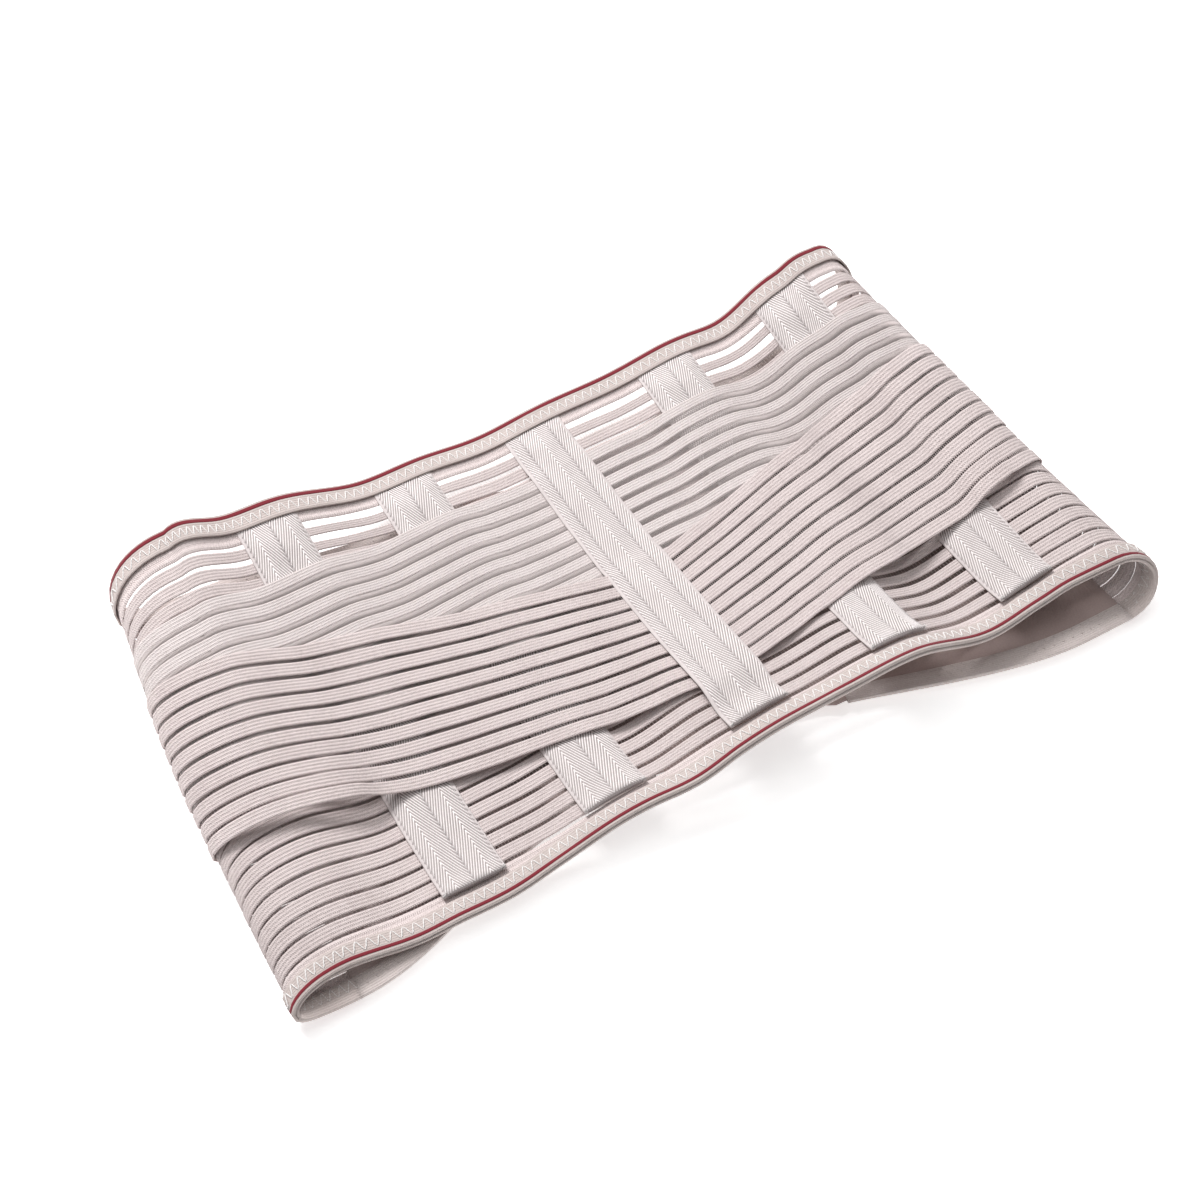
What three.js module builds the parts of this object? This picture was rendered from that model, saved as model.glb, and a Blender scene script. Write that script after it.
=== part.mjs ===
import * as THREE from 'three';

// Lumbosacral brace: an elastic back belt, closed at the front and lying flattened on a table.
// Millimetres, +Z up. X runs along the belt and Y along the stays, with the belt's upper edge at +Y.
// The origin is on the table, under the middle of the belt.

// Driving sizes
const beltHeight = 228;
const clothWall = 1.5;
const clearance = 0.3;
const bindingWidth = 11;
const bindingTape = 0.9;
const stayTapeWidth = 30;
const stayTapeLength = 205;
const stayTapeWall = 1.6;

// The upper layer, from the left fold to the right one: a row for each stay, and for each dip or swell
// between them. X and Z are where the middle of the cloth lies at the belt's lower and upper edge, and the
// sag is how far it hangs half way between them.
const sections = [
  { at: 'left fold', lowerX: -206, lowerZ: 14, upperX: -186, upperZ: 43, sag: 2 },
  { at: 'left swell', lowerX: -174, lowerZ: 10.5, upperX: -168, upperZ: 41, sag: 6 },
  { at: 'outer left stay', lowerX: -144, lowerZ: 9.2, upperX: -141, upperZ: 34.5, sag: 8.5 },
  { at: 'left dip', lowerX: -108, lowerZ: 11.5, upperX: -105, upperZ: 24.5, sag: 6 },
  { at: 'inner left stay', lowerX: -73, lowerZ: 18.5, upperX: -71, upperZ: 18.5, sag: 6.5 },
  { at: 'left rise', lowerX: -36, lowerZ: 24, upperX: -36, upperZ: 15.5, sag: 7.5 },
  { at: 'centre stay', lowerX: 0, lowerZ: 30.5, upperX: 0, upperZ: 17, sag: 10 },
  { at: 'right rise', lowerX: 38, lowerZ: 33.5, upperX: 38, upperZ: 18.5, sag: 11 },
  { at: 'inner right stay', lowerX: 73.5, lowerZ: 34, upperX: 75.5, upperZ: 23, sag: 11 },
  { at: 'right dip', lowerX: 108, lowerZ: 23.5, upperX: 110, upperZ: 25, sag: 10 },
  { at: 'outer right stay', lowerX: 146, lowerZ: 23, upperX: 143, upperZ: 38.5, sag: 9 },
  { at: 'right swell', lowerX: 166, lowerZ: 26, upperX: 156, upperZ: 44.5, sag: 6.5 },
  { at: 'right fold', lowerX: 186, lowerZ: 27, upperX: 168, upperZ: 46.5, sag: 3 },
];

// How far each fold's curve is pulled outwards at the lower and upper edge, how far the fold bulges half way
// between them, how far the lower layer behind it has slid towards the belt's lower edge and where in the
// fold the slide is complete, and the stretch of the front in which that layer narrows.
const folds = {
  left: {
    side: -1, lowerPull: 40, upperPull: 43, bulge: 4,
    slide: -10, slideEnd: 0.7, narrowing: [0, 0.75],
  },
  right: {
    side: 1, lowerPull: 27.5, upperPull: 19, bulge: -1,
    slide: -17, slideEnd: 1, narrowing: [0.15, 1.4],
  },
};

// The lower layer narrows to the front closure.
const lowerLayer = { lowerRise: 36, upperDrop: 14, closureX: 48, flapX: 36 };

// Straps: Y of each strap's two edges at the centre stay and at its fold. The lower pair lies over the
// upper pair, and every strap runs on past its fold, on the underside, by the tail's length.
const strapTail = 95;
const straps = [
  { pair: 'upper', hand: 'left', centreTop: 75.5, centreBottom: -9, foldTop: 70, foldBottom: -14 },
  { pair: 'upper', hand: 'right', centreTop: 75.5, centreBottom: -9, foldTop: 70, foldBottom: -14 },
  { pair: 'lower', hand: 'left', centreTop: 2.5, centreBottom: -76.5, foldTop: 46, foldBottom: -40 },
  { pair: 'lower', hand: 'right', centreTop: 1, centreBottom: -78, foldTop: 43, foldBottom: -44 },
];

// How high the centre stay's tape lies over the strap ends, by distance from the belt's upper edge.
const centreRise = [
  { fromTop: 11.5, layers: 0 },
  { fromTop: 35, layers: 1 },
  { fromTop: 107, layers: 2 },
  { fromTop: 197, layers: 2 },
  { fromTop: 216.5, layers: 0 },
];

// Fineness of the walls
const stepsPerSection = 4;
const stepsPerFold = 12;
const stepsPerFront = 6;
const panelRows = 8;
const frontRows = 2;
const strapRows = 3;
const stayRows = 12;
const stayColumns = 4;

// Levels above the middle of the cloth, worked out from the stack of pieces
const layerPitch = clothWall + clearance;
const clothFace = clothWall / 2;
const strapFace = clothFace + clearance;
const stayLift = stayTapeWall + clearance;
const lowerLayerZ = 2 * layerPitch + clothFace;

// Places round the belt: 0 is the centre stay, foldStart and foldEnd bound each fold, frontEnd is the
// closure. Negative places are on the left. The tape of a stay reaches less than tapeReach to either side,
// and seamGap keeps two panels apart at their seam.
const tapeReach = 0.7;
const seamGap = clearance / beltHeight;
const foldStart = (sections.length - 1) / 2;
const foldEnd = foldStart + 1;
const frontEnd = foldEnd + 1;
const foldMiddle = foldStart + 0.5;
const outerStay = foldStart - 2;
const outerStayEdge = outerStay + tapeReach;
const innerStay = foldStart - 4;
const sectionLength = sections[foldStart + 1].lowerX - sections[foldStart].lowerX;

const edgeCurves = {
  lower: new THREE.SplineCurve(sections.map((row) => new THREE.Vector2(row.lowerX, row.lowerZ))),
  upper: new THREE.SplineCurve(sections.map((row) => new THREE.Vector2(row.upperX, row.upperZ))),
};

function foldCurve(edge, fold) {
  const spline = edgeCurves[edge];
  const end = fold.side < 0 ? 0 : 1;
  const top = spline.getPoint(end);
  const outwards = spline.getTangent(end).multiplyScalar(fold.side);
  const pull = fold[edge + 'Pull'];
  const bottom = new THREE.Vector2(top.x, lowerLayerZ);
  const topHandle = top.clone().addScaledVector(outwards, pull);
  const bottomHandle = new THREE.Vector2(bottom.x + fold.side * pull, lowerLayerZ);
  return new THREE.CubicBezierCurve(top, topHandle, bottomHandle, bottom);
}

const foldCurves = {
  left: { lower: foldCurve('lower', folds.left), upper: foldCurve('upper', folds.left) },
  right: { lower: foldCurve('lower', folds.right), upper: foldCurve('upper', folds.right) },
};

// A point of the cloth's middle on one of the belt's two edges.
function edgePoint(edge, place) {
  const distance = Math.abs(place);
  const outY = edge === 'lower' ? -beltHeight / 2 : beltHeight / 2;
  if (distance <= foldStart) {
    const point = edgeCurves[edge].getPoint((place + foldStart) / (2 * foldStart));
    return new THREE.Vector3(point.x, outY, point.y);
  }
  const side = place < 0 ? 'left' : 'right';
  const curve = foldCurves[side][edge];
  if (distance <= foldEnd) {
    const turn = distance - foldStart;
    const point = curve.getPoint(turn);
    const slid = folds[side].slide * THREE.MathUtils.smoothstep(turn, 0, folds[side].slideEnd);
    return new THREE.Vector3(point.x, outY + slid, point.y);
  }
  const along = distance - foldEnd;
  const start = curve.getPoint(1);
  const taper = edge === 'lower' ? lowerLayer.lowerRise : -lowerLayer.upperDrop;
  const x = THREE.MathUtils.lerp(start.x, folds[side].side * lowerLayer.closureX, along);
  const narrowed = taper * THREE.MathUtils.smoothstep(along, ...folds[side].narrowing);
  const y = outY + folds[side].slide + narrowed;
  return new THREE.Vector3(x, y, lowerLayerZ);
}

// How far the cloth hangs half way up the belt, which ends in the folds.
const sagCurve = new THREE.SplineCurve(sections.map((row, i) => new THREE.Vector2(i, row.sag)));

function sagAt(place) {
  const distance = Math.abs(place);
  const inside = THREE.MathUtils.clamp(place, -foldStart, foldStart);
  const sag = sagCurve.getPoint((inside + foldStart) / (2 * foldStart)).y;
  return sag * (1 - THREE.MathUtils.smoothstep(distance, foldStart, foldEnd));
}

// How far the cloth bulges outwards half way up a fold.
function bulgeAt(place) {
  const { side, bulge } = place < 0 ? folds.left : folds.right;
  const distance = Math.abs(place);
  const grown = THREE.MathUtils.smoothstep(distance, foldStart - 1, foldMiddle);
  return side * bulge * grown * (1 - THREE.MathUtils.smoothstep(distance, foldMiddle, foldEnd));
}

function clothMiddle(place, rise) {
  const point = edgePoint('lower', place).lerp(edgePoint('upper', place), rise);
  const halfWay = 4 * rise * (1 - rise);
  point.x += bulgeAt(place) * halfWay;
  point.z -= sagAt(place) * halfWay;
  return point;
}

// A point at a place round the belt, at a share of its height and a level above the cloth's middle.
function clothPoint(place, rise, level) {
  const reach = 0.02;
  const along = clothMiddle(Math.min(place + reach, frontEnd), rise);
  along.sub(clothMiddle(Math.max(place - reach, -frontEnd), rise));
  const across = edgePoint('upper', place).sub(edgePoint('lower', place));
  across.x += bulgeAt(place) * 4 * (1 - 2 * rise);
  across.z -= sagAt(place) * 4 * (1 - 2 * rise);
  const outwards = along.cross(across).normalize();
  return clothMiddle(place, rise).addScaledVector(outwards, level);
}

function riseOfDepth(place, depth) {
  const span = edgePoint('upper', place).y - edgePoint('lower', place).y;
  return depth / span;
}

function riseOfY(place, y) {
  const lower = edgePoint('lower', place).y;
  const upper = edgePoint('upper', place).y;
  return (y - lower) / (upper - lower);
}

// The place reached by walking a distance along the cloth, at a share of its height.
function walk(place, distance, rise) {
  const strides = 8;
  const reach = 0.01;
  let reached = place;
  for (let i = 0; i < strides; i += 1) {
    const before = clothMiddle(reached - reach, rise);
    const after = clothMiddle(reached + reach, rise);
    reached += (2 * reach * distance) / strides / before.distanceTo(after);
  }
  return reached;
}

// Places from one to the other, finer in the folds than on the flat stretches.
function placesBetween(from, to) {
  const marks = [from];
  const least = 1e-6;
  const addMarks = (first, last, steps) => {
    for (let i = 0; i <= steps; i += 1) {
      const mark = THREE.MathUtils.lerp(first, last, i / steps);
      if (mark > marks.at(-1) + least && mark < to - least) marks.push(mark);
    }
  };
  addMarks(-frontEnd, -foldEnd, stepsPerFront);
  addMarks(-foldEnd, -foldStart, stepsPerFold);
  addMarks(-foldStart, foldStart, 2 * foldStart * stepsPerSection);
  addMarks(foldStart, foldEnd, stepsPerFold);
  addMarks(foldEnd, frontEnd, stepsPerFront);
  marks.push(to);
  return marks;
}

// A closed wall on a grid: pointAt gives the inner (0) and the outer (1) face's point of a grid corner.
function closedWall(columns, rows, pointAt) {
  const positions = [];
  const index = [];
  for (let side = 0; side <= 1; side += 1) {
    for (let i = 0; i <= columns; i += 1) {
      for (let j = 0; j <= rows; j += 1) positions.push(...pointAt(i, j, side).toArray());
    }
  }
  const corner = (i, j, side) => (side * (columns + 1) + i) * (rows + 1) + j;
  const quad = (a, b, c, d) => index.push(a, b, c, a, c, d);
  for (let i = 0; i < columns; i += 1) {
    for (let j = 0; j < rows; j += 1) {
      quad(corner(i, j, 1), corner(i + 1, j, 1), corner(i + 1, j + 1, 1), corner(i, j + 1, 1));
      quad(corner(i, j, 0), corner(i, j + 1, 0), corner(i + 1, j + 1, 0), corner(i + 1, j, 0));
    }
    quad(corner(i, 0, 0), corner(i + 1, 0, 0), corner(i + 1, 0, 1), corner(i, 0, 1));
    quad(corner(i, rows, 1), corner(i + 1, rows, 1), corner(i + 1, rows, 0), corner(i, rows, 0));
  }
  for (let j = 0; j < rows; j += 1) {
    quad(corner(0, j, 1), corner(0, j + 1, 1), corner(0, j + 1, 0), corner(0, j, 0));
    quad(corner(columns, j, 0), corner(columns, j + 1, 0), corner(columns, j + 1, 1), corner(columns, j, 1));
  }
  const geometry = new THREE.BufferGeometry();
  geometry.setAttribute('position', new THREE.Float32BufferAttribute(positions, 3));
  geometry.setIndex(index);
  geometry.computeVertexNormals();
  return geometry;
}

// The slotted elastic of the back, round both folds to the seams with the front panels.
function backPanel() {
  const seam = foldEnd - seamGap;
  const places = placesBetween(-seam, seam);
  const edgeDepth = bindingTape + clearance;
  return closedWall(places.length - 1, panelRows, (i, j, side) => {
    const hem = riseOfDepth(places[i], edgeDepth);
    const rise = THREE.MathUtils.lerp(hem, 1 - hem, j / panelRows);
    return clothPoint(places[i], rise, side ? clothFace : -clothFace);
  });
}

// A front panel lies on the table from its seam to the closure, and its flap runs on past the middle.
// The right flap steps down under the left one.
function frontPanel(side, flapDrop) {
  const seam = foldEnd + seamGap;
  const flapEnds = [lowerLayer.flapX + clearance, -lowerLayer.flapX];
  const columns = stepsPerFront + flapEnds.length;
  const edgeDepth = bindingTape + clearance;
  const pointAt = (i, j, face) => {
    const place = side * THREE.MathUtils.lerp(seam, frontEnd, Math.min(1, i / stepsPerFront));
    const hem = riseOfDepth(place, edgeDepth);
    const rise = THREE.MathUtils.lerp(hem, 1 - hem, j / frontRows);
    const point = clothPoint(place, rise, face ? clothFace : -clothFace);
    if (i > stepsPerFront) {
      point.x = side * flapEnds[i - stepsPerFront - 1];
      point.z -= flapDrop;
    }
    return point;
  };
  return closedWall(columns, frontRows, side > 0 ? pointAt : (i, j, face) => pointAt(columns - i, j, face));
}

// Binding tape folded over a stretch of one of the belt's long edges, a U in section.
function binding(edge, from, to) {
  const places = placesBetween(from, to);
  const foldedTape = [
    { depth: bindingWidth, face: 1 },
    { depth: 0, face: 1 },
    { depth: 0, face: -1 },
    { depth: bindingWidth, face: -1 },
  ];
  if (edge === 'lower') foldedTape.reverse();
  return closedWall(places.length - 1, foldedTape.length - 1, (i, j, side) => {
    const { depth, face } = foldedTape[j];
    const rise = riseOfDepth(places[i], Math.max(depth, side ? 0 : bindingTape));
    const level = face * (strapFace + (side ? bindingTape : 0));
    return clothPoint(places[i], edge === 'lower' ? rise : 1 - rise, level);
  });
}

// Level of a tape's underside along the centre stay, over the ends of the straps.
function centreLevel(fromTop) {
  const last = centreRise.length - 1;
  const next = THREE.MathUtils.clamp(centreRise.findIndex((row) => row.fromTop >= fromTop), 1, last);
  const before = centreRise[next - 1];
  const after = centreRise[next];
  const share = THREE.MathUtils.clamp((fromTop - before.fromTop) / (after.fromTop - before.fromTop), 0, 1);
  const layers = THREE.MathUtils.lerp(before.layers, after.layers, share);
  return strapFace + layers * layerPitch + Math.min(1, layers) * stayLift;
}

// Herringbone tape that holds a stay, flat across and following the cloth along its length.
function stayTape(place, overStraps) {
  const margin = (beltHeight - stayTapeLength) / 2;
  return closedWall(stayColumns, stayRows, (i, j, side) => {
    const y = THREE.MathUtils.lerp(margin, beltHeight - margin, j / stayRows);
    const rise = y / beltHeight;
    const level = overStraps ? centreLevel(beltHeight - y) : strapFace;
    const column = walk(place, (i / stayColumns - 0.5) * stayTapeWidth, rise);
    return clothPoint(column, rise, level + (side ? stayTapeWall : 0));
  });
}

// Length of the cloth, half way up the belt, from the centre stay to each place.
function lengthsTo(places) {
  const halfWay = 0.5;
  const lengths = [0];
  for (let i = 1; i < places.length; i += 1) {
    const step = clothMiddle(places[i], halfWay).distanceTo(clothMiddle(places[i - 1], halfWay));
    lengths.push(lengths[i - 1] + step);
  }
  return lengths;
}

// A strap of slotted elastic from the centre stay, over the side stays and round the fold.
function strap({ pair, hand, centreTop, centreBottom, foldTop, foldBottom }) {
  const layer = pair === 'lower' ? 1 : 0;
  const { side } = folds[hand];
  const start = clearance / 2 / sectionLength;
  const frontLength = Math.abs(edgePoint('lower', side * foldEnd).x) - lowerLayer.closureX;
  const places = placesBetween(start, foldEnd + strapTail / frontLength).map((place) => side * place);
  const lengths = lengthsTo(places);
  const foldLength = lengths[places.findIndex((place) => Math.abs(place) >= foldMiddle)];
  const columns = places.length - 1;
  const pointAt = (i, j, face) => {
    const overStays = 1 - THREE.MathUtils.smoothstep(Math.abs(places[i]), outerStayEdge, foldStart);
    const level = strapFace + layer * layerPitch + overStays * stayLift + (face ? clothWall : 0);
    const share = lengths[i] / foldLength;
    const middle = THREE.MathUtils.lerp(centreTop + centreBottom, foldTop + foldBottom, share) / 2;
    const width = THREE.MathUtils.lerp(centreTop - centreBottom, foldTop - foldBottom, Math.min(1, share));
    const y = middle + width * (j / strapRows - 0.5);
    return clothPoint(places[i], riseOfY(places[i], y), level);
  };
  return closedWall(columns, strapRows, side > 0 ? pointAt : (i, j, face) => pointAt(columns - i, j, face));
}

const finishes = {
  elastic: { color: 0xdccfcb, roughness: 0.85 },
  tape: { color: 0xdad5d1, roughness: 0.8 },
  binding: { color: 0xcfc5bd, roughness: 0.85 },
  plainCloth: { color: 0xd8cbc6, roughness: 0.9 },
};

const brace = new THREE.Group();

function addPiece(name, finish, geometry) {
  const material = new THREE.MeshStandardMaterial({ ...finishes[finish], metalness: 0 });
  const mesh = new THREE.Mesh(geometry, material);
  mesh.name = name;
  brace.add(mesh);
}

addPiece('back_panel', 'elastic', backPanel());
addPiece('front_panel_left', 'plainCloth', frontPanel(-1, 0));
addPiece('front_panel_right', 'plainCloth', frontPanel(1, layerPitch));
for (const edge of ['upper', 'lower']) {
  addPiece(`${edge}_binding`, 'binding', binding(edge, seamGap - foldEnd, foldEnd - seamGap));
  addPiece(`${edge}_hem_left`, 'binding', binding(edge, -frontEnd, -foldEnd - seamGap));
  addPiece(`${edge}_hem_right`, 'binding', binding(edge, foldEnd + seamGap, frontEnd));
}
addPiece('outer_stay_left', 'tape', stayTape(-outerStay, false));
addPiece('inner_stay_left', 'tape', stayTape(-innerStay, false));
addPiece('centre_stay', 'tape', stayTape(0, true));
addPiece('inner_stay_right', 'tape', stayTape(innerStay, false));
addPiece('outer_stay_right', 'tape', stayTape(outerStay, false));
straps.forEach((row) => addPiece(`${row.pair}_strap_${row.hand}`, 'elastic', strap(row)));

// The origin lies on the table, under the middle of the whole belt.
const box = new THREE.Box3().setFromObject(brace);
const middle = box.getCenter(new THREE.Vector3());
brace.position.set(-middle.x, -middle.y, -box.min.z);

export default brace;
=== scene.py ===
import math
import bpy
import numpy as np
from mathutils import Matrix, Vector


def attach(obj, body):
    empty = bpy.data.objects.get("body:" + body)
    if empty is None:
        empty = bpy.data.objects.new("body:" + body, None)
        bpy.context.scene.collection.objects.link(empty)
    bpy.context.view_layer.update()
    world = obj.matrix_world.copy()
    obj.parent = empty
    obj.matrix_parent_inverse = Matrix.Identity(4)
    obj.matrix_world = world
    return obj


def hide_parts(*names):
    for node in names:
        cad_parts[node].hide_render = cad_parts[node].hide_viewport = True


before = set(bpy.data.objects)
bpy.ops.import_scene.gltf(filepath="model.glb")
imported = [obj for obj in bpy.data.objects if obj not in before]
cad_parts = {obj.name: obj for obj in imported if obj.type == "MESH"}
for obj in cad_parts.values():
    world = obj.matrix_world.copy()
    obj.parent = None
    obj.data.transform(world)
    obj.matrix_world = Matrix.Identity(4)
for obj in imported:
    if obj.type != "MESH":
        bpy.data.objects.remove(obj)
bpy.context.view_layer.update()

scene = bpy.context.scene
tau = 2 * math.pi
print("frame loaded:", len(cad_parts), "nodes")

# The folded belt in millimetres. A row is the cloth's lower X and Z, upper X and Z, and the sag between.
belt = {
    "height": 228.0,
    "toFrame": (14.661, 8.255, 0.0),
    "lowerLayerZ": 4.35,
    "rows": (
        (-206, 14, -186, 43, 2),
        (-174, 10.5, -168, 41, 6),
        (-144, 9.2, -141, 34.5, 8.5),
        (-108, 11.5, -105, 24.5, 6),
        (-73, 18.5, -71, 18.5, 6.5),
        (-36, 24, -36, 15.5, 7.5),
        (0, 30.5, 0, 17, 10),
        (38, 33.5, 38, 18.5, 11),
        (73.5, 34, 75.5, 23, 11),
        (108, 23.5, 110, 25, 10),
        (146, 23, 143, 38.5, 9),
        (166, 26, 156, 44.5, 6.5),
        (186, 27, 168, 46.5, 3),
    ),
    # for each fold: side, pull at the lower and upper edge, bulge between, the lower layer's slide
    # and where it is complete, and the stretch of the front in which the layer narrows
    "folds": (
        (-1, (40, 43), 4, (-10, 0.7), (0, 0.75)),
        (1, (27.5, 19), -1, (-17, 1.0), (0.15, 1.4)),
    ),
    # the edges aren't quite even: places, and how far the upper edge is raised or the lower one pulled in
    "upperWave": (
        (-7, 0), (-6.75, -2), (-6.45, -5), (-6.2, -3), (-5.65, 1.5), (-4.65, -3.5), (-3.6, 1.3),
        (-2.6, -3), (-1.6, 0.5), (-0.6, -1.8), (0.4, 0.6), (1.45, -0.8), (2.5, 0.4), (3.2, -2.3),
        (3.7, 1.5), (4.3, 1), (5.1, 1.5), (6, 0), (7, 0),
    ),
    "lowerWave": (
        (-7, 0), (-5.8, 0), (-5.1, -2.1), (-4.4, -1.8), (-3.6, -2.2), (-3, 0), (-1.7, 0.7),
        (-1.1, -1.5), (-0.4, 0.3), (1.3, 0.5), (2.7, 0), (3.2, -1.7), (3.9, 0.6), (4.5, 1.5),
        (5.2, 0.9), (6, 0.2), (7, 0),
    ),
    # dents in the back: place, share of the height, depth, and how far they spread both ways
    "dents": (
        (-4.85, 0.27, 4.3, 0.6, 0.14), (-5.1, 0.1, 2.0, 0.5, 0.1), (-3.0, 0.14, 1.5, 0.5, 0.1),
        (-1.4, 0.15, 2.6, 0.34, 0.12), (-0.62, 0.17, -2.2, 0.3, 0.12), (0.6, 0.15, 1.6, 0.3, 0.12),
        (1.4, 0.17, -1.4, 0.3, 0.12), (3.0, 0.2, 3.5, 0.55, 0.14),
    ),
    "lowerRise": (30, 36),  # how far the lower layer's lower edge draws in, left and right
    "upperDrop": 14,  # and its upper edge, on both sides
    "closureX": 48,  # where the hems end
    "flapX": 36,  # how far each flap goes past the middle
    "probe": (0.02, 0.01),  # places and shares of the height over which the cloth's slope is taken
}
beltRows = np.array(belt["rows"], float)
foldStart, foldMiddle, foldEnd, frontEnd = 6.0, 6.5, 7.0, 8.0
seamPlace = foldEnd - 0.02  # where the back is sewn to the front


def smooth(value, low, high):
    t = np.clip((value - low) / (high - low), 0, 1)
    return t * t * (3 - 2 * t)


def blendTo(first, last, share):
    return first + (last - first) * share


def squared(ring, power):
    # a circle's sine or cosine, pushed out towards a square
    return np.sign(ring) * np.abs(ring) ** power


def through(pairs, at):
    # a smooth curve through pairs of numbers
    marks, values = np.array(pairs, float).T
    slopes = np.gradient(values, marks)
    i = np.clip(np.searchsorted(marks, at) - 1, 0, len(marks) - 2)
    wide = marks[i + 1] - marks[i]
    t = np.clip((at - marks[i]) / wide, 0, 1)
    rise = values[i + 1] - values[i]
    bend = slopes[i] * wide * t * (1 - t) ** 2 - slopes[i + 1] * wide * t * t * (1 - t)
    return values[i] + rise * t * t * (3 - 2 * t) + bend


def alongRows(columns, place):
    last = len(beltRows) - 1
    s = np.clip(place + foldStart, 0, last)
    i = np.minimum(s.astype(int), last - 1)
    t = (s - i)[:, None]
    rows = beltRows[:, columns]
    a, b, c, d = rows[np.maximum(i - 1, 0)], rows[i], rows[i + 1], rows[np.minimum(i + 2, last)]
    m, n = (c - a) / 2, (d - b) / 2
    return (2 * b - 2 * c + m + n) * t**3 + (3 * c - 3 * b - 2 * m - n) * t**2 + m * t + b


def edgeLine(place, upper):
    # one of the belt's two long edges, right round the folds to the front closure
    columns = slice(2, 4) if upper else slice(0, 2)
    x, z = alongRows(columns, place).T.copy()
    y = np.full(len(place), belt["height"] / 2 if upper else -belt["height"] / 2)
    if upper:
        z += through(belt["upperWave"], place)
    else:
        y += through(belt["lowerWave"], place)
    for side, pulls, _, (slide, slideEnd), narrowing in belt["folds"]:
        top, before = beltRows[[0, 1] if side < 0 else [-1, -2], columns]
        pull = pulls[1 if upper else 0]
        bottom = np.array([top[0], belt["lowerLayerZ"]])
        reach = top + (top - before) / np.linalg.norm(top - before) * pull
        under = bottom + np.array([side * pull, 0])
        inFold = place * side > foldStart
        turn = np.clip(place[inFold] * side - foldStart, 0, 1)
        t = turn[:, None]
        curve = (
            top * (1 - t) ** 3 + 3 * reach * t * (1 - t) ** 2
            + 3 * under * t * t * (1 - t) + bottom * t**3
        )
        x[inFold] = curve[:, 0]
        z[inFold] = curve[:, 1] + (through(belt["upperWave"], place[inFold]) if upper else 0)
        y[inFold] += slide * smooth(turn, 0, slideEnd)
        onFront = place * side > foldEnd
        along = place[onFront] * side - foldEnd
        x[onFront] = blendTo(top[0], side * belt["closureX"], along)
        taper = -belt["upperDrop"] if upper else belt["lowerRise"][0 if side < 0 else 1]
        y[onFront] += taper * smooth(along, *narrowing)
    return np.stack([x, y, z], 1)


def riseAt(place, y):
    # the share of the cloth's height at Y, for one Y or a row of them at each place
    low, high = edgeLine(place, False)[:, 1], edgeLine(place, True)[:, 1]
    return ((y.T - low) / (high - low)).T


def sagAt(place):
    return alongRows(slice(4, 5), place)[:, 0] * (1 - smooth(np.abs(place), foldStart, foldEnd))


def bulgeAt(place):
    away = np.abs(place)
    grown = smooth(away, foldStart - 1, foldMiddle) * (1 - smooth(away, foldMiddle, foldEnd))
    return grown * sum(side * bulge * (place * side > 0) for side, _, bulge, _, _ in belt["folds"])


def clothMiddle(place, rise):
    low, high = edgeLine(place, False)[:, None], edgeLine(place, True)[:, None]
    points = blendTo(low, high, rise[..., None])
    points[..., 0] += bulgeAt(place)[:, None] * 4 * rise * (1 - rise)
    points[..., 2] -= sagAt(place)[:, None] * 4 * rise * (1 - rise)
    for where, height, depth, wide, tall in belt["dents"]:
        spread = ((place[:, None] - where) / wide) ** 2 + ((rise - height) / tall) ** 2
        points[..., 2] -= depth * np.exp(-spread)
    return points


def clothPoint(place, rise, level):
    # points at places round the belt, shares of its height, and levels above the cloth's middle
    place = np.asarray(place, float)
    rise, level = np.broadcast_arrays(np.asarray(rise, float), np.asarray(level, float))
    if rise.ndim == 1:
        rise = np.broadcast_to(rise, (len(place), len(rise)))
        level = np.broadcast_to(level, rise.shape)
    probePlace, probeRise = belt["probe"]
    ahead = clothMiddle(np.minimum(place + probePlace, frontEnd), rise)
    behind = clothMiddle(np.maximum(place - probePlace, -frontEnd), rise)
    across = clothMiddle(place, rise + probeRise) - clothMiddle(place, rise - probeRise)
    out = np.cross(ahead - behind, across)
    out /= np.linalg.norm(out, axis=-1, keepdims=True)
    return clothMiddle(place, rise) + out * level[..., None]


# lengths along the cloth, half way up, counted from the centre stay
tableSize = 6401
tablePlace = np.linspace(-frontEnd, frontEnd, tableSize)
tableLine = clothMiddle(tablePlace, np.full((tableSize, 1), 0.5))[:, 0]
tableStep = np.linalg.norm(np.diff(tableLine, axis=0), axis=1)
tableLength = np.concatenate([[0], np.cumsum(tableStep)])
tableLength -= np.interp(0, tablePlace, tableLength)


def lengthOf(place):
    return np.interp(place, tablePlace, tableLength)


def placeAt(length):
    return np.interp(length, tableLength, tablePlace)


def evenPlaces(first, last, step):
    start, end = lengthOf(first), lengthOf(last)
    return placeAt(np.linspace(start, end, int(abs(end - start) / step) + 2))


print("belt girth of the back: %.0f mm" % (lengthOf(foldEnd) - lengthOf(-foldEnd)))


# Materials

class Strand:
    def __init__(self, finish, socket):
        self.finish, self.socket = finish, socket

    def maths(self, operation, other=None, swapped=False):
        pair = (self,) if other is None else (other, self) if swapped else (self, other)
        return self.finish.node("ShaderNodeMath", {"operation": operation}, dict(enumerate(pair)))

    def __add__(self, other):
        return self.maths("ADD", other)

    def __sub__(self, other):
        return self.maths("SUBTRACT", other)

    def __rsub__(self, other):
        return self.maths("SUBTRACT", other, True)

    def __mul__(self, other):
        return self.maths("MULTIPLY", other)

    __radd__, __rmul__ = __add__, __mul__

    def wave(self, length, phase=0.0):
        return (self * (tau / length) + phase).maths("SINE")

    def rise(self, low, high):
        ends = {"Value": self, "From Min": low, "From Max": high}
        return self.finish.node("ShaderNodeMapRange", {"interpolation_type": "SMOOTHSTEP"}, ends)


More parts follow.
